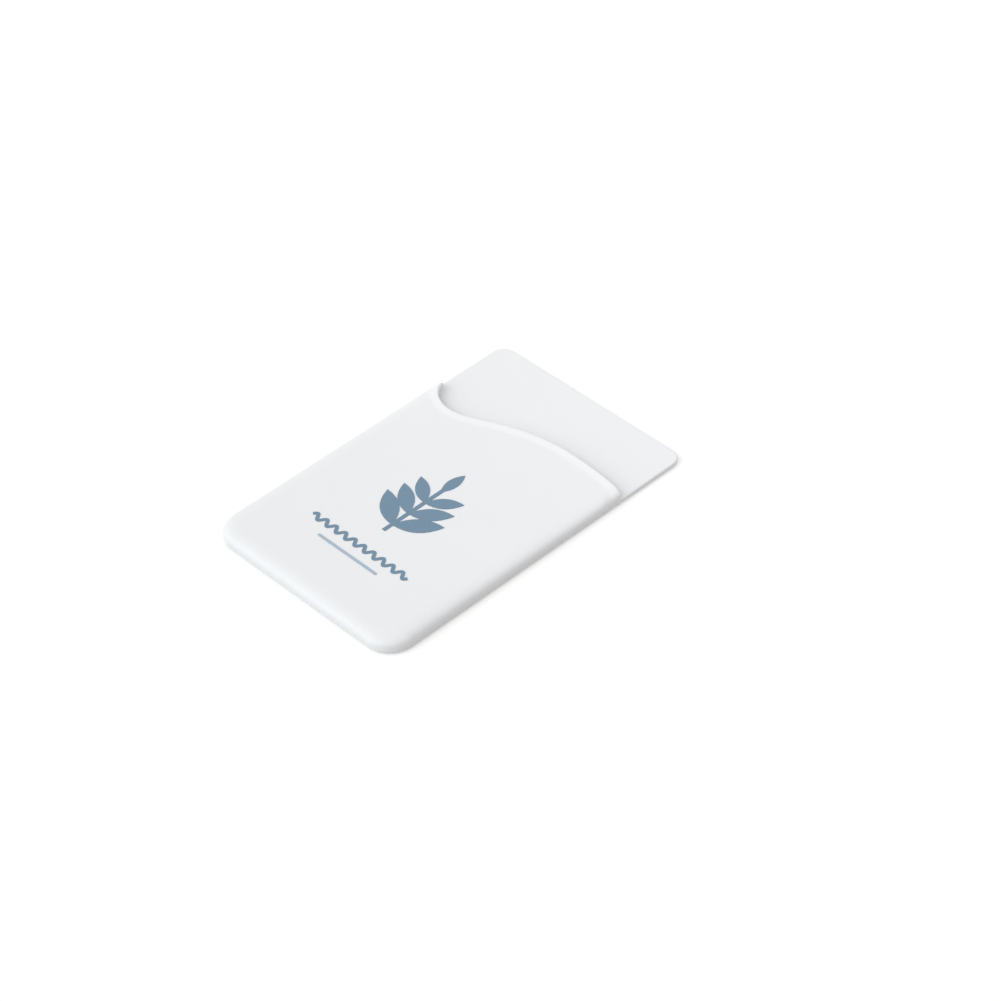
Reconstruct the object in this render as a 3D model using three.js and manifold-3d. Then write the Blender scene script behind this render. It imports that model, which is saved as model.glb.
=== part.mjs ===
// Stick-on card holder for the back of a phone, in millimetres, +Z up.
// It lies on its adhesive back. X runs across the pocket, +Y runs from the closed end to the
// open end, and the origin is the middle of the adhesive sheet's lower face.
// One silicone moulding makes the back panel, the walls and the front panel of the pocket.
// The front panel ends in an S-shaped mouth: a thumb notch on the left and a long low crest
// on the right, edged by a low lip that rises towards the mouth.
import * as THREE from 'three';
import { mergeVertices } from 'three/addons/utils/BufferGeometryUtils.js';
import Module from 'manifold-3d';

const wasm = await Module();
wasm.setup();

// Outline of the moulding, seen from the front
const sleeveWidth = 57;
const sleeveLength = 87;
const closedCornerRadius = 6.5;
const tongueCornerRadius = 3.2;

// Layers, from the back to the front
const adhesiveThickness = 0.3;
const backThickness = 1;
const pocketGap = 0.95;
const frontThickness = 1.05;
const inkThickness = 0.1;

// Walls of the pocket and the adhesive sheet's margin
const sideWall = 1.5;
const bottomWall = 1.5;
const adhesiveMargin = 2;
const backEdgeRadius = 0.35;

// Soft roll of the front panel's edge: nearly flat at first, then round down to upright
const rollWidth = 5;
const rollHeight = 2.55;
const rollPower = 3.45;
const rollTurn = THREE.MathUtils.degToRad(76);

// Mouth of the pocket
const mouthFromTop = 17.65;
const crestFromRight = 16.4;
const crestRadius = 96;
const crestShoulder = 17.4;
const notchFromLeft = 9.75;
const notchDepth = 7.85;
const notchRise = 7;
const notchRun = 4.4;
const notchShoulder = 2.7;
const tipDrop = 1.9;
const tipLean = THREE.MathUtils.degToRad(13);
const mouthEndRadius = 1;

// Lip along the mouth: it rises from the flat front to the mouth's rounded edge
const lipWidth = 2.05;
const lipRise = 0.2;
const lipEdgeRadius = 0.35;

// Print on the front panel
const sprigHeight = 24;
const sprigCentreY = -7;
const sprigPairs = 3;
const leafLength = 11.5;
const leafWidth = 4.3;
const leafSpread = THREE.MathUtils.degToRad(52);
const leafTaper = 0.12;
const stemWidth = 1;
const waveLength = 30;
const wavePeriod = 3;
const waveHeight = 0.75;
const waveStroke = 0.85;
const waveY = -25.8;
const ruleLength = 18.5;
const ruleStroke = 0.7;
const ruleY = -29.4;

// Fineness of the round stretches
const cornerSteps = 13;
const edgeSteps = 4;
const tipSteps = 12;
const notchSteps = 18;
const swellSteps = cornerSteps + 6;
const crestSteps = cornerSteps - 2;
const shoulderSteps = 8;
const endSteps = 5;
const rollSteps = 14;
const lipEdgeSteps = 4;
const lipSlopeSteps = 3;
const waveSteps = 12;

// Levels worked out from the layers
const sleeveBackZ = adhesiveThickness;
const pocketFloorZ = sleeveBackZ + backThickness;
const pocketCeilingZ = pocketFloorZ + pocketGap;
const frontZ = pocketCeilingZ + frontThickness;
const rollFootZ = frontZ - rollHeight;
const right = sleeveWidth / 2;
const top = sleeveLength / 2;
const mouthY = top - mouthFromTop;

const silicone = new THREE.MeshStandardMaterial({ color: '#eceef0', roughness: 0.6, metalness: 0 });
const adhesive = new THREE.MeshStandardMaterial({ color: '#dfe0dc', roughness: 0.45, metalness: 0 });
const ink = new THREE.MeshStandardMaterial({ color: '#708aa0', roughness: 0.55, metalness: 0 });
const paleInk = new THREE.MeshStandardMaterial({ color: '#a9b9c8', roughness: 0.55, metalness: 0 });

// A closed mesh with shared corners, as a solid that can be cut and joined
function toSolid(geometry) {
  const bare = geometry.clone();
  bare.deleteAttribute('normal');
  bare.deleteAttribute('uv');
  const merged = mergeVertices(bare, 1e-5);
  const corners = Array.from(merged.index.array);
  const kept = [];
  for (let i = 0; i < corners.length; i += 3) {
    const [a, b, c] = corners.slice(i, i + 3);
    if (a !== b && b !== c && c !== a) kept.push(a, b, c);
  }
  const mesh = new wasm.Mesh({
    numProp: 3,
    vertProperties: new Float32Array(merged.attributes.position.array),
    triVerts: new Uint32Array(kept),
  });
  return new wasm.Manifold(mesh);
}

function toGeometry(solid) {
  const mesh = solid.getMesh();
  const geometry = new THREE.BufferGeometry();
  geometry.setAttribute('position', new THREE.BufferAttribute(mesh.vertProperties, 3));
  geometry.setIndex(new THREE.BufferAttribute(mesh.triVerts, 1));
  geometry.computeVertexNormals();
  return geometry;
}

function geometryOf(points, corners) {
  const geometry = new THREE.BufferGeometry();
  geometry.setAttribute('position', new THREE.Float32BufferAttribute(points.flatMap((p) => p.toArray()), 3));
  geometry.setIndex(corners);
  return geometry;
}

// Corner of a rounded outline: points on an arc that turns a quarter, counterclockwise
function cornerArc(x, y, radius, start, steps = cornerSteps) {
  return Array.from({ length: steps + 1 }, (_, i) => {
    const angle = start + (Math.PI / 2) * (i / steps);
    return new THREE.Vector2(x + radius * Math.cos(angle), y + radius * Math.sin(angle));
  });
}

// Rounded rectangle moved inwards by `inset`, counterclockwise from its upper right corner
function roundedRing(plate, inset) {
  const { halfWidth, low, high, lowRadius, highRadius } = plate;
  const quarter = Math.PI / 2;
  return [
    ...cornerArc(halfWidth - highRadius, high - highRadius, highRadius - inset, 0),
    ...cornerArc(-halfWidth + highRadius, high - highRadius, highRadius - inset, quarter),
    ...cornerArc(-halfWidth + lowRadius, low + lowRadius, lowRadius - inset, 2 * quarter),
    ...cornerArc(halfWidth - lowRadius, low + lowRadius, lowRadius - inset, 3 * quarter),
  ];
}

// The moulding's outline, and the same outline with a margin all round
function outlinePlate(margin) {
  return {
    halfWidth: right - margin,
    low: -top + margin,
    high: top - margin,
    lowRadius: closedCornerRadius - margin,
    highRadius: tongueCornerRadius - margin,
  };
}

// Loft of closed rings with the same number of points, capped at both ends
function loft(rings) {
  const count = rings[0].length;
  const points = rings.flat();
  const corners = [];
  for (let r = 0; r + 1 < rings.length; r += 1) {
    for (let i = 0; i < count; i += 1) {
      const a = r * count + i;
      const b = r * count + ((i + 1) % count);
      corners.push(a, b, b + count, a, b + count, a + count);
    }
  }
  const capFaces = THREE.ShapeUtils.triangulateShape(rings[0].map((p) => new THREE.Vector2(p.x, p.y)), []);
  const last = (rings.length - 1) * count;
  for (const [a, b, c] of capFaces) {
    corners.push(a, c, b, last + a, last + b, last + c);
  }
  return toSolid(geometryOf(points, corners));
}

// Inset and height along a quarter round, from its upright end to its flat end
function quarterRound(radius, steps) {
  return Array.from({ length: steps + 1 }, (_, i) => {
    const angle = (Math.PI / 2) * (i / steps);
    return { inset: radius * (1 - Math.cos(angle)), rise: radius * Math.sin(angle) };
  });
}

function ringAt(plan, z) {
  return plan.map((p) => new THREE.Vector3(p.x, p.y, z));
}

// Plate whose lower and upper edges are both rounded by `radius`
function roundedPlate(plate, zLow, zHigh, radius) {
  const round = quarterRound(radius, edgeSteps);
  const lower = round.map((s) => ringAt(roundedRing(plate, s.inset), zLow + radius - s.rise)).reverse();
  const upper = round.map((s) => ringAt(roundedRing(plate, s.inset), zHigh - radius + s.rise));
  return loft([...lower, ...upper]);
}

// Distance of a point of the front panel from the outline of the moulding
function distanceFromSide(p) {
  const x = Math.abs(p.x) - (right - closedCornerRadius);
  const y = -p.y - (top - closedCornerRadius);
  const outside = Math.hypot(Math.max(x, 0), Math.max(y, 0));
  return closedCornerRadius - outside - Math.min(Math.max(x, y), 0);
}

// Mouth of the pocket, from the left wall's outer face to the right wall's
function mouthPath() {
  const tipRadius = sideWall / 2;
  const tipX = -right + tipRadius;
  const tipY = mouthY - tipDrop - tipRadius;
  const fromX = tipX + tipRadius * Math.cos(tipLean);
  const fromY = tipY + tipRadius * Math.sin(tipLean);
  const notchX = -right + notchFromLeft;
  const notchY = mouthY - notchDepth;
  const crestX = right - crestFromRight;
  const crestCentreY = mouthY - crestRadius;
  const angleAt = (x) => Math.acos((x - crestX) / crestRadius);
  const shoulderAngle = angleAt(right - rollWidth);
  const endAngle = angleAt(right - mouthEndRadius);
  const endY = crestCentreY + crestRadius * Math.sin(endAngle);
  const tip = new THREE.Path().absarc(tipX, tipY, tipRadius, Math.PI, tipLean, true);
  const notch = new THREE.CubicBezierCurve(
    new THREE.Vector2(fromX, fromY),
    new THREE.Vector2(fromX + notchShoulder * Math.sin(tipLean), fromY - notchShoulder * Math.cos(tipLean)),
    new THREE.Vector2(notchX - notchRun, notchY),
    new THREE.Vector2(notchX, notchY),
  );
  const swell = new THREE.CubicBezierCurve(
    new THREE.Vector2(notchX, notchY),
    new THREE.Vector2(notchX + notchRise, notchY),
    new THREE.Vector2(crestX - crestShoulder, mouthY),
    new THREE.Vector2(crestX, mouthY),
  );
  const crest = new THREE.Path().absarc(crestX, crestCentreY, crestRadius, Math.PI / 2, shoulderAngle, true);
  const shoulder = new THREE.Path().absarc(crestX, crestCentreY, crestRadius, shoulderAngle, endAngle, true);
  const end = new THREE.QuadraticBezierCurve(
    new THREE.Vector2(right - mouthEndRadius, endY),
    new THREE.Vector2(right, endY),
    new THREE.Vector2(right, endY - mouthEndRadius),
  );
  return [
    ...tip.getSpacedPoints(tipSteps).slice(0, -1),
    ...notch.getSpacedPoints(notchSteps).slice(0, -1),
    ...swell.getSpacedPoints(swellSteps).slice(0, -1),
    ...crest.getSpacedPoints(crestSteps).slice(0, -1),
    ...shoulder.getSpacedPoints(shoulderSteps).slice(0, -1),
    ...end.getPoints(endSteps),
  ];
}

// Foot of the walls, from the left wall's end round the closed end to the right wall's end:
// one point for each point of the mouth, close together where the mouth meets a wall
function wallPath(mouth) {
  const start = mouth[0];
  const finish = mouth[mouth.length - 1];
  const lowX = right - closedCornerRadius;
  const lowY = -top + closedCornerRadius;
  const tipRun = sideWall / 2;
  const notchStart = mouth[tipSteps].y;
  const acrossTip = Array.from({ length: tipSteps }, (_, i) => start.y - tipRun * (i / tipSteps));
  const acrossNotch = mouth
    .slice(tipSteps, tipSteps + notchSteps)
    .map((p) => start.y - tipRun - 2 * (notchStart - p.y));
  const left = [...acrossTip, ...acrossNotch].map((y) => new THREE.Vector2(-right, y));
  const lastLeft = left[left.length - 1];
  const farLeft = new THREE.Vector2(-right, lastLeft.y - (notchStart - mouth[tipSteps + notchSteps].y));
  const leftCorner = cornerArc(-lowX, lowY, closedCornerRadius, Math.PI);
  const middle = new THREE.Vector2(0, -top);
  const rightCorner = cornerArc(lowX, lowY, closedCornerRadius, Math.PI * 1.5);
  const upSteps = shoulderSteps + endSteps;
  const up = Array.from({ length: upSteps + 1 }, (_, i) => {
    const rest = rollWidth * (1 - i / upSteps);
    return new THREE.Vector2(right, finish.y - rest);
  });
  return [...left, farLeft, ...leftCorner, middle, ...rightCorner, ...up];
}

// Height of the lip over the flat front: an even slope that ends in a quarter round at the mouth
function lipHeight(distance) {
  const slope = lipRise * Math.max(0, 1 - distance / lipWidth);
  const away = Math.max(0, 1 - distance / lipEdgeRadius);
  return slope - lipEdgeRadius * (1 - Math.sqrt(1 - away * away));
}

// Height of the front panel: a superelliptical roll from the walls, which the lip follows
function frontHeight(p, fromMouth) {
  const away = 1 - Math.min(Math.max(distanceFromSide(p), 0) / rollWidth, 1);
  const swell = (1 - away ** rollPower) ** (1 / rollPower);
  return rollFootZ + (rollHeight + lipHeight(fromMouth)) * swell;
}

function distanceToPath(p, path) {
  let nearest = Infinity;
  for (let i = 0; i + 1 < path.length; i += 1) {
    const along = path[i + 1].clone().sub(path[i]);
    const reach = p.clone().sub(path[i]).dot(along) / along.lengthSq();
    const foot = path[i].clone().addScaledVector(along, Math.min(Math.max(reach, 0), 1));
    nearest = Math.min(nearest, foot.distanceTo(p));
  }
  return nearest;
}

// Unit normals of an open path, to the right of its direction
function normalsOf(path) {
  return path.map((_, i) => {
    const before = path[Math.max(i - 1, 0)];
    const after = path[Math.min(i + 1, path.length - 1)];
    const along = after.clone().sub(before).normalize();
    return new THREE.Vector2(along.y, -along.x);
  });
}

// Front panel and walls as one lofted body. Each column of the loft starts at the mouth, crosses
// the lip square to it, runs straight over the flat, and meets the wall square over the roll.
function hood() {
  const mouth = mouthPath();
  const wall = wallPath(mouth);
  const mouthNormals = normalsOf(mouth);
  const wallNormals = normalsOf(wall).map((n) => n.negate());
  const slopeStep = (lipWidth - lipEdgeRadius) / lipSlopeSteps;
  const lipStops = [
    ...quarterRound(lipEdgeRadius, lipEdgeSteps).map((s) => s.inset),
    ...Array.from({ length: lipSlopeSteps }, (_, i) => lipEdgeRadius + slopeStep * (i + 1)),
  ];
  const rollStops = Array.from({ length: rollSteps }, (_, i) => {
    return rollWidth * (1 - Math.sin(rollTurn * (i / (rollSteps - 1))) ** (2 / rollPower));
  });
  rollStops.push(0);
  const reach = lipWidth + rollWidth;
  const columns = mouth.map((start, i) => {
    const chord = wall[i].clone().sub(start);
    const length = chord.length();
    const share = Math.min(1, (0.9 * length) / reach);
    const square = THREE.MathUtils.clamp(length / reach - 1, 0, 1);
    chord.normalize();
    const inwards = mouthNormals[i].clone().lerp(chord, 1 - square).normalize();
    const back = wallNormals[i].clone().lerp(chord.clone().negate(), 1 - square).normalize();
    return [
      ...lipStops.map((d) => start.clone().addScaledVector(inwards, d * share)),
      ...rollStops.map((d) => wall[i].clone().addScaledVector(back, d * share)),
    ];
  });
  const rows = columns[0].length;
  const points = columns.flat().map((p) => {
    return new THREE.Vector3(p.x, p.y, frontHeight(p, distanceToPath(p, mouth)));
  });
  const corners = [];
  for (let c = 0; c + 1 < columns.length; c += 1) {
    for (let r = 0; r + 1 < rows; r += 1) {
      const a = c * rows + r;
      corners.push(a, a + 1, a + rows + 1, a, a + rows + 1, a + rows);
    }
  }
  const first = columns.map((_, c) => c * rows);
  const last = columns.map((_, c) => c * rows + rows - 1);
  const rim = [...last, ...first.slice(1, -1).reverse()];
  const footZ = (sleeveBackZ + backEdgeRadius + rollFootZ) / 2;
  const base = points.length;
  for (const index of rim) {
    points.push(new THREE.Vector3(points[index].x, points[index].y, footZ));
  }
  rim.forEach((index, i) => {
    const next = (i + 1) % rim.length;
    corners.push(index, base + i, base + next, index, base + next, rim[next]);
  });
  const contour = rim.map((index) => new THREE.Vector2(points[index].x, points[index].y));
  for (const [a, b, c] of THREE.ShapeUtils.triangulateShape(contour, [])) {
    corners.push(base + a, base + c, base + b);
  }
  return toSolid(geometryOf(points, corners));
}

// Room for the card, left by a thin core plate that is drawn out through the mouth
function pocketCore() {
  const plate = {
    halfWidth: right - sideWall,
    low: -top + bottomWall,
    high: top + sleeveLength,
    lowRadius: closedCornerRadius - sideWall,
    highRadius: closedCornerRadius - sideWall,
  };
  return roundedPlate(plate, pocketFloorZ, pocketCeilingZ, pocketGap / 2);
}

function siliconeSleeve() {
  const back = roundedPlate(outlinePlate(0), sleeveBackZ, pocketFloorZ, backEdgeRadius);
  return toGeometry(back.add(hood()).subtract(pocketCore()));
}

function adhesiveSheet() {
  const plan = roundedRing(outlinePlate(adhesiveMargin), 0);
  return toGeometry(loft([ringAt(plan, 0), ringAt(plan, adhesiveThickness)]));
}

// Field of ink: a flat shape laid on the front panel
function inkField(shape) {
  const field = new THREE.ExtrudeGeometry(shape, { depth: inkThickness, bevelEnabled: false, curveSegments: 8 });
  return field.translate(0, 0, frontZ);
}

function leaf(x, y, angle, size) {
  const length = leafLength * size;
  const width = leafWidth * size;
  const place = (along, across) => {
    return new THREE.Vector2(along, across).rotateAround(new THREE.Vector2(), angle).add(new THREE.Vector2(x, y));
  };
  const tip = place(length, 0);
  const bulge = place(length / 2, width);
  const hollow = place(length / 2, -width);
  const shape = new THREE.Shape();
  shape.moveTo(x, y);
  shape.quadraticCurveTo(hollow.x, hollow.y, tip.x, tip.y);
  shape.quadraticCurveTo(bulge.x, bulge.y, x, y);
  return toSolid(inkField(shape));
}

// Sprig of paired leaves on a straight stem, smaller towards its tip
function sprig() {
  const foot = sprigCentreY - sprigHeight / 2;
  const tipSize = 1 - leafTaper * sprigPairs;
  const stemLength = sprigHeight - leafLength * tipSize + stemWidth;
  const stem = new THREE.Shape();
  stem.moveTo(-stemWidth / 2, foot);
  stem.lineTo(stemWidth / 2, foot);
  stem.lineTo(stemWidth / 2, foot + stemLength);
  stem.lineTo(-stemWidth / 2, foot + stemLength);
  let solid = toSolid(inkField(stem)).add(leaf(0, foot + stemLength - stemWidth, Math.PI / 2, tipSize));
  const step = (stemLength - stemWidth) / (sprigPairs + 0.5);
  for (let k = 0; k < sprigPairs; k += 1) {
    const y = foot + step * (k + 0.5);
    const size = 1 - leafTaper * k;
    solid = solid.add(leaf(0, y, Math.PI / 2 - leafSpread, size));
    solid = solid.add(leaf(0, y, Math.PI / 2 + leafSpread, size));
  }
  return toGeometry(solid);
}

// Wavy rule: a ribbon of even width along a sine
function waveRule() {
  const waves = Math.round(waveLength / wavePeriod);
  const steps = waves * waveSteps;
  const edge = (side) => Array.from({ length: steps + 1 }, (_, i) => {
    const phase = (2 * Math.PI * waves * i) / steps;
    const slope = (waveHeight * 2 * Math.PI * waves * Math.cos(phase)) / waveLength;
    const lean = Math.hypot(1, slope);
    const x = waveLength * (i / steps - 0.5) - (side * slope * waveStroke) / 2 / lean;
    const y = waveY + waveHeight * Math.sin(phase) + (side * waveStroke) / 2 / lean;
    return new THREE.Vector2(x, y);
  });
  return inkField(new THREE.Shape([...edge(-1), ...edge(1).reverse()]));
}

function plainRule() {
  const rule = new THREE.Shape();
  rule.absarc((ruleLength - ruleStroke) / 2, ruleY, ruleStroke / 2, -Math.PI / 2, Math.PI / 2, false);
  rule.absarc((ruleStroke - ruleLength) / 2, ruleY, ruleStroke / 2, Math.PI / 2, Math.PI * 1.5, false);
  return inkField(rule);
}

function piece(name, geometry, material) {
  const mesh = new THREE.Mesh(geometry, material);
  mesh.name = name;
  return mesh;
}

const group = new THREE.Group();
group.add(
  piece('silicone_sleeve', siliconeSleeve(), silicone),
  piece('adhesive_sheet', adhesiveSheet(), adhesive),
  piece('print_sprig', sprig(), ink),
  piece('print_wave_rule', waveRule(), ink),
  piece('print_plain_rule', plainRule(), paleInk),
);

export default group;
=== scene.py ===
"""Looks of a stick-on card holder: one white silicone moulding with an adhesive film under it
and a small print on its front. Lengths are in millimetres until they go into a mesh."""

from math import pi, radians

import bmesh
import bpy
import numpy as np
from mathutils import Matrix, Vector


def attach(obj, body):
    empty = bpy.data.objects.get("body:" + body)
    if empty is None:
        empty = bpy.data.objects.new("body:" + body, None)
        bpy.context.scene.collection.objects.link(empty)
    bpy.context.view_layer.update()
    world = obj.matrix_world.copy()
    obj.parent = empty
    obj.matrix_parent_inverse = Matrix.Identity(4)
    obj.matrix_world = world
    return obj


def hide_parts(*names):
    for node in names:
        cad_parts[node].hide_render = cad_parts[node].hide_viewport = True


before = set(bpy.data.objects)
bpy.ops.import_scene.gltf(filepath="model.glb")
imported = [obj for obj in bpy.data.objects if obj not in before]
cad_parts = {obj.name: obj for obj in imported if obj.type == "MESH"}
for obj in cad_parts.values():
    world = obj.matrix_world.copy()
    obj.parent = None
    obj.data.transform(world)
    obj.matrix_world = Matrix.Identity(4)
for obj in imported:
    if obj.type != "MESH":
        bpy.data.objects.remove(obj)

MM = 0.001

# Outline of the moulding and its layers
HALF_WIDTH = 28.5
HALF_LENGTH = 43.5
CLOSED_CORNER = 6.5
TONGUE_CORNER = 3.2
BACK_Z = 0.3
FLOOR_Z = 1.3
CEILING_Z = 2.25
FRONT_Z = 3.3
BACK_EDGE = 0.35
WALL = 1.5

# Roll of the front panel's edge: nearly flat at first, then round down to upright
ROLL_WIDTH = 5.0
ROLL_HEIGHT = 2.55
ROLL_POWER = 3.45
ROLL_FOOT_Z = FRONT_Z - ROLL_HEIGHT

# S-shaped mouth
MOUTH_Y = HALF_LENGTH - 17.65
CREST = (HALF_WIDTH - 16.4, MOUTH_Y)
CREST_RADIUS = 96.0
CREST_SHOULDER = 17.4
NOTCH = (-HALF_WIDTH + 9.75, MOUTH_Y - 7.85)
NOTCH_RISE = 7.0
NOTCH_RUN = 4.4
NOTCH_SHOULDER = 2.7
TIP_DROP = 1.9
TIP_LEAN = radians(13)
TIP_ROUND = 2.2
TIP_FALL = 0.8
MOUTH_END = 1.0

# Lip along the mouth
LIP_WIDTH = 2.05
LIP_RISE = 0.2
LIP_EDGE = 0.35
LIP_FOOT = 0.3

# Fineness
CORNER_STEPS = 26
EDGE_STEPS = 8
TIP_STEPS = 28
NOTCH_STEPS = 44
FAR_STEPS = 3
MIDDLE_STEPS = 4
CREST_STEPS = 24
SWELL_STEPS = FAR_STEPS + MIDDLE_STEPS + 2 * (CORNER_STEPS + 1) - CREST_STEPS
SHOULDER_STEPS = 22
END_STEPS = 12
ROLL_STEPS = 32
ROUND_STEPS = 8
SLOPE_STEPS = 3
FOOT_STEPS = 6
CURVE_SAMPLES = 400

# Columns of points of the front shell: flat kept before the roll, and the most of a short column
# that its lip and roll take up
FLAT_BEFORE_ROLL = 0.3
MOST_OF_COLUMN = 0.9

# Points closer than this are one, edges sharper than this stay sharp, and what lies this far
# above the pocket's ceiling is on the outside
WELD = 0.00002
SHARP = radians(40)
ABOVE_CEILING = 0.05


def points(*columns):
    """Arrays of x and y as one array of points."""
    return np.stack(np.broadcast_arrays(*columns), axis=-1).astype(float)


def arc(centre, radius, start, end, steps):
    """Points on a circle: centre plus radius times cosine and sine of an angle that runs evenly."""
    angle = np.linspace(start, end, steps + 1)
    return points(centre[0] + radius * np.cos(angle), centre[1] + radius * np.sin(angle))


def evenly(path, steps):
    """The same path with its points a constant length apart."""
    run = np.append(0.0, np.cumsum(np.linalg.norm(np.diff(path, axis=0), axis=1)))
    at = np.linspace(0.0, run[-1], steps + 1)
    return points(np.interp(at, run, path[:, 0]), np.interp(at, run, path[:, 1]))


def bezier(p0, p1, p2, p3, steps):
    """Cubic curve: the four points weighted by (1-t)^3, 3t(1-t)^2, 3t^2(1-t) and t^3."""
    t = np.linspace(0.0, 1.0, CURVE_SAMPLES)[:, None]
    s = 1 - t
    weights = np.concatenate([s**3, 3 * t * s**2, 3 * t * t * s, t**3], axis=1)
    return evenly(weights @ np.array([p0, p1, p2, p3], float), steps)


def rounded_ring(half_width, low, high, low_radius, high_radius, inset):
    """Rounded rectangle moved inwards by inset: four quarter circles, counterclockwise."""
    right, left = half_width - high_radius, high_radius - half_width
    low_right, low_left = half_width - low_radius, low_radius - half_width
    top, bottom = high - high_radius, low + low_radius
    return np.concatenate([
        arc((right, top), high_radius - inset, 0, pi / 2, CORNER_STEPS),
        arc((left, top), high_radius - inset, pi / 2, pi, CORNER_STEPS),
        arc((low_left, bottom), low_radius - inset, pi, 1.5 * pi, CORNER_STEPS),
        arc((low_right, bottom), low_radius - inset, 1.5 * pi, 2 * pi, CORNER_STEPS),
    ])


def mouth_path():
    """Mouth from the left wall's outer face to the right wall's: a round tip, a curve down into
    the thumb notch, a curve up to the crest, a long flat arc, and a small quarter turn."""
    tip_radius = WALL / 2
    tip = (-HALF_WIDTH + tip_radius, MOUTH_Y - TIP_DROP - tip_radius)
    start = np.add(tip, tip_radius * np.array([np.cos(TIP_LEAN), np.sin(TIP_LEAN)]))
    leave = start + NOTCH_SHOULDER * np.array([np.sin(TIP_LEAN), -np.cos(TIP_LEAN)])
    centre = (CREST[0], CREST[1] - CREST_RADIUS)
    shoulder = np.arccos((HALF_WIDTH - ROLL_WIDTH - CREST[0]) / CREST_RADIUS)
    finish = np.arccos((HALF_WIDTH - MOUTH_END - CREST[0]) / CREST_RADIUS)
    end_y = centre[1] + CREST_RADIUS * np.sin(finish)
    t = np.linspace(0.0, 1.0, END_STEPS + 1)
    end = points(HALF_WIDTH - MOUTH_END * (1 - t) ** 2, end_y - MOUTH_END * t**2)
    before_notch = (NOTCH[0] - NOTCH_RUN, NOTCH[1])
    after_notch = (NOTCH[0] + NOTCH_RISE, NOTCH[1])
    return np.concatenate([
        arc(tip, tip_radius, pi, TIP_LEAN, TIP_STEPS)[:-1],
        bezier(start, leave, before_notch, NOTCH, NOTCH_STEPS)[:-1],
        bezier(NOTCH, after_notch, (CREST[0] - CREST_SHOULDER, CREST[1]), CREST, SWELL_STEPS)[:-1],
        arc(centre, CREST_RADIUS, pi / 2, shoulder, CREST_STEPS)[:-1],
        arc(centre, CREST_RADIUS, shoulder, finish, SHOULDER_STEPS)[:-1],
        end,
    ])


def wall_path(mouth):
    """Foot of the walls, round the closed end, with one point for each point of the mouth."""
    low_x, low_y = HALF_WIDTH - CLOSED_CORNER, CLOSED_CORNER - HALF_LENGTH
    start, finish = mouth[0, 1], mouth[-1, 1]
    drop = mouth[TIP_STEPS, 1] - mouth[TIP_STEPS:TIP_STEPS + NOTCH_STEPS, 1]
    tip = start - WALL / 2 * np.arange(TIP_STEPS) / TIP_STEPS
    notch = start - WALL / 2 - 2 * drop
    far = np.linspace(notch[-1], low_y, FAR_STEPS + 2)[1:-1]
    middle = np.linspace(-low_x, low_x, MIDDLE_STEPS + 2)[1:-1]
    rise = SHOULDER_STEPS + END_STEPS
    up = finish - ROLL_WIDTH * (1 - np.arange(rise + 1) / rise)
    return np.concatenate([
        points(-HALF_WIDTH, np.concatenate([tip, notch, far])),
        arc((-low_x, low_y), CLOSED_CORNER, pi, 1.5 * pi, CORNER_STEPS),
        points(middle, -HALF_LENGTH),
        arc((low_x, low_y), CLOSED_CORNER, 1.5 * pi, 2 * pi, CORNER_STEPS),
        points(HALF_WIDTH, up),
    ])


def distance_from_side(p):
    """Distance inwards from the moulding's outline, a rectangle with round closed corners."""
    x = np.abs(p[..., 0]) - (HALF_WIDTH - CLOSED_CORNER)
    y = -p[..., 1] - (HALF_LENGTH - CLOSED_CORNER)
    outside = np.hypot(np.maximum(x, 0), np.maximum(y, 0))
    return CLOSED_CORNER - outside - np.minimum(np.maximum(x, y), 0)


def distance_from_path(p, path):
    """Shortest distance from each point to the stretches of a path."""
    a, along = path[:-1], np.diff(path, axis=0)
    to = p[..., None, :] - a
    reach = np.clip((to * along).sum(-1) / (along**2).sum(-1), 0, 1)
    return np.linalg.norm(to - reach[..., None] * along, axis=-1).min(-1)


def lip_height(d):
    """Height of the lip at distance d from the mouth: a straight slope that eases into the flat
    over a short parabola, less a quarter circle at the mouth's edge."""
    slope = LIP_RISE / LIP_WIDTH
    into = np.clip(LIP_WIDTH + LIP_FOOT - d, 0, 2 * LIP_FOOT)
    eased = slope * into**2 / (4 * LIP_FOOT)
    rise = np.where(d < LIP_WIDTH - LIP_FOOT, slope * (LIP_WIDTH - d), eased)
    away = np.clip(1 - d / LIP_EDGE, 0, 1)
    return rise - LIP_EDGE * (1 - np.sqrt(1 - away**2))


def tip_fall(p):
    """Drop of the tip beside the thumb notch: a quarter circle's, over its last stretch. The tip
    is all that lies this far up on the left, less than two walls from the side."""
    end = MOUTH_Y - TIP_DROP
    along = np.clip(1 - (end - p[..., 1]) / TIP_ROUND, 0, 1) * (p[..., 0] < 0)
    return TIP_FALL * (1 - np.sqrt(1 - along**2)) * (distance_from_side(p) < 2 * WALL)


def front_height(p, from_mouth):
    """Foot height plus the roll's quarter superellipse, which carries the lip with it: one less
    the distance from the flat, as a share of the roll, to the power, and the root of the rest."""
    away = 1 - np.clip(distance_from_side(p) / ROLL_WIDTH, 0, 1)
    swell = np.clip(1 - away**ROLL_POWER, 0, 1) ** (1 / ROLL_POWER)
    return ROLL_FOOT_Z + (ROLL_HEIGHT + lip_height(from_mouth) - tip_fall(p)) * swell


def unit(v):
    """Vectors made one long; a vector of no length stays."""
    length = np.linalg.norm(v, axis=-1, keepdims=True)
    return v / np.where(length > 0, length, 1)


def right_of(path):
    """Unit vectors at right angles to a path, on its right hand."""
    first, last = path[1:2] - path[:1], path[-1:] - path[-2:-1]
    along = unit(np.concatenate([first, path[2:] - path[:-2], last]))
    return points(along[:, 1], -along[:, 0])


def quarter_insets(radius, steps):
    """Insets of a quarter round at even angles: radius times one minus the cosine."""
    return radius * (1 - np.cos(np.linspace(0, pi / 2, steps + 1)))


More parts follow.
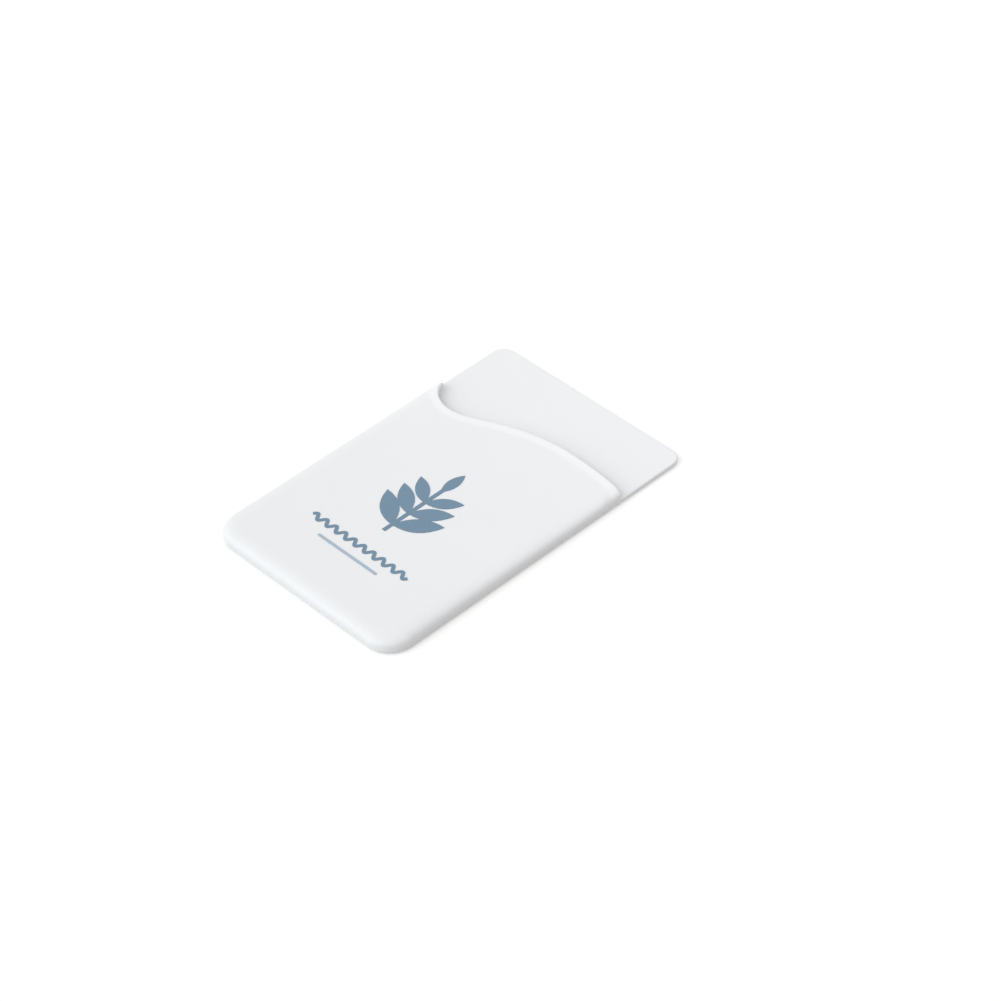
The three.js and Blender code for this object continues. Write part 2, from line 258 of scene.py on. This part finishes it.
def mesh_object(name, corners, faces):
    """A mesh from points in millimetres, with points that coincide made one."""
    mesh = bpy.data.meshes.new(name)
    mesh.from_pydata((np.asarray(corners) * MM).tolist(), [], faces)
    work = bmesh.new()
    work.from_mesh(mesh)
    bmesh.ops.remove_doubles(work, verts=work.verts, dist=WELD * MM)
    bmesh.ops.recalc_face_normals(work, faces=work.faces)
    work.to_mesh(mesh)
    work.free()
    thing = bpy.data.objects.new(name, mesh)
    bpy.context.scene.collection.objects.link(thing)
    return thing


def lofted(name, rings):
    """Closed body through rings of equally many points, with a flat face at each end."""
    rings = np.asarray(rings)
    rows, count = rings.shape[:2]
    at = np.arange(rows * count).reshape(rows, count)
    turned = np.roll(at, -1, axis=1)
    sides = np.stack([at[:-1], turned[:-1], turned[1:], at[1:]], axis=-1).reshape(-1, 4).tolist()
    return mesh_object(name, rings.reshape(-1, 3), sides + [at[0, ::-1].tolist(), at[-1].tolist()])


def rounded_plate(name, ring, low_z, high_z, radius, steps):
    """Plate with both edges rounded: the ring at the inset and height of two quarter circles."""
    inset = quarter_insets(radius, steps)
    rise = radius * np.sin(np.linspace(0, pi / 2, steps + 1))
    insets = np.concatenate([inset[::-1], inset])
    heights = np.concatenate([(low_z + radius - rise)[::-1], high_z - radius + rise])
    rings = []
    for i, z in zip(insets, heights):
        plan = rounded_ring(*ring, i)
        rings.append(np.column_stack([plan, np.full(len(plan), z)]))
    return lofted(name, rings)


def hood():
    """Front panel and walls. Each column of points starts at the mouth, crosses the lip square to
    it, runs straight over the flat, and meets the wall square over the roll. A point's height is
    the roll at its distance from the side, with the lip at its distance from the mouth."""
    mouth = mouth_path()
    wall = wall_path(mouth)
    slope_end, foot_end = LIP_WIDTH - LIP_FOOT, LIP_WIDTH + LIP_FOOT
    lip_stops = np.concatenate([
        quarter_insets(LIP_EDGE, ROUND_STEPS),
        np.linspace(LIP_EDGE, slope_end, SLOPE_STEPS + 1)[1:],
        np.linspace(slope_end, foot_end, FOOT_STEPS + 1)[1:],
        [foot_end + LIP_FOOT],
    ])
    turn = np.sin(np.linspace(0, pi / 2, ROLL_STEPS + 1)) ** (2 / ROLL_POWER)
    roll_stops = np.append(ROLL_WIDTH + FLAT_BEFORE_ROLL, ROLL_WIDTH * (1 - turn))
    chord = wall - mouth
    length = np.linalg.norm(chord, axis=1, keepdims=True)
    chord = unit(chord)
    reach = lip_stops[-1] + roll_stops[0]
    share = np.minimum(1, MOST_OF_COLUMN * length / reach)[:, None]
    square = np.clip(length / reach - 1, 0, 1)
    inwards = unit(square * right_of(mouth) + (1 - square) * chord)
    back = unit(-square * right_of(wall) - (1 - square) * chord)
    over_lip = mouth[:, None] + inwards[:, None] * lip_stops[None, :, None] * share
    over_roll = wall[:, None] + back[:, None] * roll_stops[None, :, None] * share
    plan = np.concatenate([over_lip, over_roll], axis=1)
    height = front_height(plan, distance_from_path(plan, mouth))
    top = np.concatenate([plan, height[..., None]], axis=-1)
    columns, rows = top.shape[:2]
    at = np.arange(columns * rows).reshape(columns, rows)
    skin = np.stack([at[:-1, :-1], at[:-1, 1:], at[1:, 1:], at[1:, :-1]], axis=-1).reshape(-1, 4)
    rim = np.concatenate([at[:, -1], at[1:-1, 0][::-1]])
    foot = top.reshape(-1, 3)[rim].copy()
    foot[:, 2] = (BACK_Z + BACK_EDGE + ROLL_FOOT_Z) / 2
    under = columns * rows + np.arange(len(rim))
    sides = np.stack([rim, under, np.roll(under, -1), np.roll(rim, -1)], axis=-1)
    faces = skin.tolist() + sides.tolist() + [under[::-1].tolist()]
    return mesh_object("front_shell", np.concatenate([top.reshape(-1, 3), foot]), faces)


def settled(thing, name):
    """The object's mesh with its modifiers applied, as a new object that takes its place."""
    shaped = thing.evaluated_get(bpy.context.evaluated_depsgraph_get())
    mesh = bpy.data.meshes.new_from_object(shaped)
    mesh.name = name
    done = bpy.data.objects.new(name, mesh)
    bpy.context.scene.collection.objects.link(done)
    return done


def moulded_sleeve():
    """Back plate joined to the front shell, less the pocket, which runs on well past the open
    end. The attribute lip is one on the lip's slope and falls to nought over its foot; it masks
    the lip's painted highlight."""
    outline = (HALF_WIDTH, -HALF_LENGTH, HALF_LENGTH, CLOSED_CORNER, TONGUE_CORNER)
    inner = CLOSED_CORNER - WALL
    room = (HALF_WIDTH - WALL, -HALF_LENGTH + WALL, 3 * HALF_LENGTH, inner, inner)
    room_round = (CEILING_Z - FLOOR_Z) / 2
    body = rounded_plate("back_plate", outline, BACK_Z, FLOOR_Z, BACK_EDGE, EDGE_STEPS)
    shell = hood()
    core = rounded_plate("card_room", room, FLOOR_Z, CEILING_Z, room_round, EDGE_STEPS)
    for other, operation in ((shell, "UNION"), (core, "DIFFERENCE")):
        step = body.modifiers.new(operation.title(), "BOOLEAN")
        step.operation = operation
        step.solver = "MANIFOLD"
        step.object = other
    sleeve = settled(body, "sleeve_moulding")
    for helper in (body, shell, core):
        bpy.data.objects.remove(helper)
    mesh = sleeve.data
    mesh.polygons.foreach_set("use_smooth", np.ones(len(mesh.polygons), bool))
    mesh.set_sharp_from_angle(angle=SHARP)
    place = np.empty(3 * len(mesh.vertices))
    mesh.vertices.foreach_get("co", place)
    place = place.reshape(-1, 3) / MM
    # Mask of the lip's painted highlight: full on the slope, fading over the foot, on the outside
    # only.
    near = LIP_WIDTH + LIP_FOOT - distance_from_path(place[:, :2], mouth_path())
    outside = place[:, 2] > CEILING_Z + ABOVE_CEILING
    share = np.clip(near / (2 * LIP_FOOT), 0, 1) * outside
    mesh.attributes.new("lip", "FLOAT", "POINT").data.foreach_set("value", share.astype(np.float32))
    weighted = sleeve.modifiers.new("Flat faces lead", "WEIGHTED_NORMAL")
    weighted.keep_sharp = True
    return sleeve


def linear(code):
    """sRGB hex to linear red, green, blue and alpha."""
    values = [int(code[i:i + 2], 16) / 255 for i in (1, 3, 5)]
    return [v / 12.92 if v <= 0.04045 else ((v + 0.055) / 1.055) ** 2.4 for v in values] + [1.0]


def add(tree, kind, settings=None, **links):
    """A node with its settings and links; a link is (node, output) and other values are set. An
    input goes by its name, with _ for a space, or by _ and its number."""
    node = tree.nodes.new(kind)
    for key, value in (settings or {}).items():
        setattr(node, key, value)
    for key, value in links.items():
        numbered = key[1:].isdigit()
        socket = node.inputs[int(key[1:]) if numbered else key.replace("_", " ")]
        if isinstance(value, tuple) and isinstance(value[0], bpy.types.Node):
            tree.links.new(value[0].outputs[value[1]], socket)
        else:
            socket.default_value = value
    return node


def new_material(name):
    """An empty material with its output node."""
    material = bpy.data.materials.new(name)
    material.use_nodes = True
    material.node_tree.nodes.clear()
    tree = material.node_tree
    return material, tree, add(tree, "ShaderNodeOutputMaterial")


def scale_of(size):
    """Scale of a texture whose features are this many millimetres across."""
    return 1 / (size * MM)


def moulded_silicone():
    """White silicone rubber from a satin-polished mould: a soft broad sheen, light that goes a
    little way in at the edges, and a faint unevenness of the soft panel. The lip is painted a
    shade whiter than the panel: a painted highlight, standing for the light that its slope
    catches. The real satin has a grain of about 0.05 mm, too fine to show, so it is drawn at 0.4
    mm."""
    material, tree, out = new_material("moulded_white_silicone")
    place = add(tree, "ShaderNodeTexCoord")
    here = (place, "Object")
    broad = add(tree, "ShaderNodeTexNoise", Vector=here, Scale=scale_of(25), Detail=1.0)
    shade = add(tree, "ShaderNodeMix", {"data_type": "RGBA"}, _0=(broad, "Fac"))
    shade.inputs[6].default_value = linear("#ebecef")
    shade.inputs[7].default_value = linear("#edeef1")
    # Painted highlight: the lip's share turns the panel colour to a whiter one, for the light on
    # its slope.
    lip = add(tree, "ShaderNodeAttribute", {"attribute_name": "lip"})
    colour = add(tree, "ShaderNodeMix", {"data_type": "RGBA"}, _0=(lip, "Fac"), _6=(shade, 2))
    colour.inputs[7].default_value = linear("#f0f1f4")
    grain = add(tree, "ShaderNodeTexNoise", Vector=here, Scale=scale_of(0.4), Detail=2.0)
    rough = add(tree, "ShaderNodeMapRange", Value=(grain, "Fac"), To_Min=0.44, To_Max=0.56)
    swell = add(tree, "ShaderNodeBump", Height=(broad, "Fac"), Strength=0.25, Distance=0.6 * MM)
    bump = add(
        tree, "ShaderNodeBump", Height=(grain, "Fac"), Normal=(swell, "Normal"), Strength=0.1,
        Distance=0.04 * MM,
    )
    shader = add(
        tree, "ShaderNodeBsdfPrincipled", Base_Color=(colour, 2), Roughness=(rough, "Result"),
        Normal=(bump, "Normal"), IOR=1.41, Subsurface_Weight=0.15, Subsurface_Scale=0.3 * MM,
    )
    shader.inputs["Subsurface Radius"].default_value = (1.0, 0.9, 0.8)
    tree.links.new(shader.outputs[0], out.inputs["Surface"])
    return material


def screen_ink(name, dark, light):
    """Matt silicone ink, screen printed: a flat field with the faint mottle of the screen. The
    real mesh has openings of about 0.1 mm, too fine to show, so the mottle is drawn at 1.1 mm."""
    material, tree, out = new_material(name)
    place = add(tree, "ShaderNodeTexCoord")
    here = (place, "Object")
    mottle = add(tree, "ShaderNodeTexNoise", Vector=here, Scale=scale_of(1.1), Detail=2.0)
    shade = add(tree, "ShaderNodeMix", {"data_type": "RGBA"}, _0=(mottle, "Fac"))
    shade.inputs[6].default_value = linear(dark)
    shade.inputs[7].default_value = linear(light)
    bump = add(tree, "ShaderNodeBump", Height=(mottle, "Fac"), Strength=0.1, Distance=0.03 * MM)
    shader = add(
        tree, "ShaderNodeBsdfPrincipled", Base_Color=(shade, 2), Roughness=0.6, IOR=1.45,
        Normal=(bump, "Normal"),
    )
    tree.links.new(shader.outputs[0], out.inputs["Surface"])
    return material


def adhesive_film():
    """Acrylic adhesive film, cast: smooth, tacky and milky, clouded over 8 mm or so, with trapped
    bubbles. Real ones are about 0.5 mm across and are drawn 2.4 mm apart, so that they show."""
    material, tree, out = new_material("acrylic_adhesive_film")
    place = add(tree, "ShaderNodeTexCoord")
    here = (place, "Object")
    bubbles = add(tree, "ShaderNodeTexVoronoi", Vector=here, Scale=scale_of(2.4))
    cloud = add(tree, "ShaderNodeTexNoise", Vector=here, Scale=scale_of(8), Detail=3.0)
    shade = add(tree, "ShaderNodeMix", {"data_type": "RGBA"}, _0=(cloud, "Fac"))
    shade.inputs[6].default_value = linear("#dadbd5")
    shade.inputs[7].default_value = linear("#e3e4e0")
    bump = add(
        tree, "ShaderNodeBump", Height=(bubbles, "Distance"), Strength=0.15, Distance=0.1 * MM,
    )
    shader = add(
        tree, "ShaderNodeBsdfPrincipled", Base_Color=(shade, 2), Roughness=0.3, IOR=1.47,
        Normal=(bump, "Normal"),
    )
    tree.links.new(shader.outputs[0], out.inputs["Surface"])
    return material


def seen_white(tree):
    """One for rays from the camera, a mirror-like surface or glass, and nought for the rest."""
    rays = add(tree, "ShaderNodeLightPath")
    camera, glossy = (rays, "Is Camera Ray"), (rays, "Is Glossy Ray")
    larger = {"operation": "MAXIMUM"}
    seen = add(tree, "ShaderNodeMath", larger, _0=camera, _1=glossy)
    return add(tree, "ShaderNodeMath", larger, _0=(seen, 0), _1=(rays, "Is Transmission Ray"))


def paper_floor():
    """White paper sweep: matt, and lifted to white where it is seen."""
    material, tree, out = new_material("white_paper_sweep")
    seen = seen_white(tree)
    lift = add(tree, "ShaderNodeMath", {"operation": "MULTIPLY"}, _0=(seen, 0), _1=FLOOR_LIFT)
    paper = linear("#d2d2d2")
    shader = add(tree, "ShaderNodeBsdfPrincipled", Base_Color=paper, Roughness=0.9)
    shader.inputs["Specular IOR Level"].default_value = 0.0
    shader.inputs["Emission Color"].default_value = (1, 1, 1, 1)
    tree.links.new(lift.outputs[0], shader.inputs["Emission Strength"])
    tree.links.new(shader.outputs[0], out.inputs["Surface"])
    return material


# Light: a broad cool lamp from the left of the picture and a small soft box over the open end,
# in an even, faintly warm white room
ROOM = 0.605
ROOM_TINT = "#fffcf9"
KEY_TOWARDS = (0.38, 0.7, -0.6)
KEY = 1.65
KEY_ANGLE = radians(60)
KEY_TINT = "#f7feff"
BOX_AT = (0, 250, 300)
BOX_SIZE = 200
BOX = 0.22
FLOOR_LIFT = 0.42


def lamp(name, kind, power, tint, towards, at=(0, 0, 0)):
    """A lamp that shines along a direction from a place in millimetres."""
    light = bpy.data.lights.new(name, kind)
    light.energy = power
    light.color = linear(tint)[:3]
    thing = bpy.data.objects.new(name, light)
    turn = Vector(towards).to_track_quat("-Z", "Y").to_matrix().to_4x4()
    thing.matrix_world = Matrix.Translation(Vector(at) * MM) @ turn
    bpy.context.scene.collection.objects.link(thing)
    return light


def white_room():
    """World: a plain warm white, and full white where it is seen."""
    world = bpy.data.worlds.new("white_room")
    world.use_nodes = True
    tree = world.node_tree
    tree.nodes.clear()
    seen = seen_white(tree)
    level = add(tree, "ShaderNodeMapRange", Value=(seen, 0), To_Min=ROOM, To_Max=1.0)
    tint = add(tree, "ShaderNodeMix", {"data_type": "RGBA"}, _0=(seen, 0))
    tint.inputs[6].default_value = linear(ROOM_TINT)
    tint.inputs[7].default_value = (1, 1, 1, 1)
    back = add(tree, "ShaderNodeBackground", Color=(tint, 2), Strength=(level, "Result"))
    out = add(tree, "ShaderNodeOutputWorld")
    tree.links.new(back.outputs[0], out.inputs["Surface"])
    bpy.context.scene.world = world


def photograph_camera():
    """Camera at the photograph's viewing angle: its axes are the columns of its matrix. The focal
    length is in pixels of a picture of this width."""
    focal, picture_width = 3470, 1001
    data = bpy.data.cameras.new("camera")
    data.sensor_width = 36.0
    data.lens = data.sensor_width * focal / picture_width
    data.clip_end = 20.0
    right = (0.689579, 0.722477, -0.050085)
    up = (-0.454512, 0.485583, 0.746745)
    behind = (0.563826, -0.492175, 0.663223)
    place = Vector((431.42, -361.97, 497.38)) * MM
    thing = bpy.data.objects.new("camera", data)
    turn = Matrix((right, up, behind)).transposed().to_4x4()
    thing.matrix_world = Matrix.Translation(place) @ turn
    bpy.context.scene.collection.objects.link(thing)
    bpy.context.scene.camera = thing


def floor():
    """A wide flat square under the object."""
    half = 2500.0
    corners = [(-half, -half, 0), (half, -half, 0), (half, half, 0), (-half, half, 0)]
    thing = mesh_object("floor", corners, [(0, 1, 2, 3)])
    thing.data.materials.append(paper_floor())


def dress(node, material):
    """A carried-over solid with a new material."""
    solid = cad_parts[node]
    solid.data.materials.clear()
    solid.data.materials.append(material)


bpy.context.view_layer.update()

sleeve = moulded_sleeve()
sleeve.data.materials.clear()
sleeve.data.materials.append(moulded_silicone())
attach(sleeve, "root")
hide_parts("silicone_sleeve")

slate = screen_ink("slate_blue_screen_ink", "#6d879d", "#738da3")
dress("print_sprig", slate)
dress("print_wave_rule", slate)
dress("print_plain_rule", screen_ink("pale_slate_screen_ink", "#a5b6c5", "#adbccb"))
dress("adhesive_sheet", adhesive_film())

floor()
white_room()
lamp("key", "SUN", KEY, KEY_TINT, KEY_TOWARDS).angle = KEY_ANGLE
lamp("box", "AREA", BOX, "#ffffff", [-c for c in BOX_AT], BOX_AT).size = BOX_SIZE * MM
photograph_camera()
bpy.context.scene.view_settings.view_transform = "Standard"
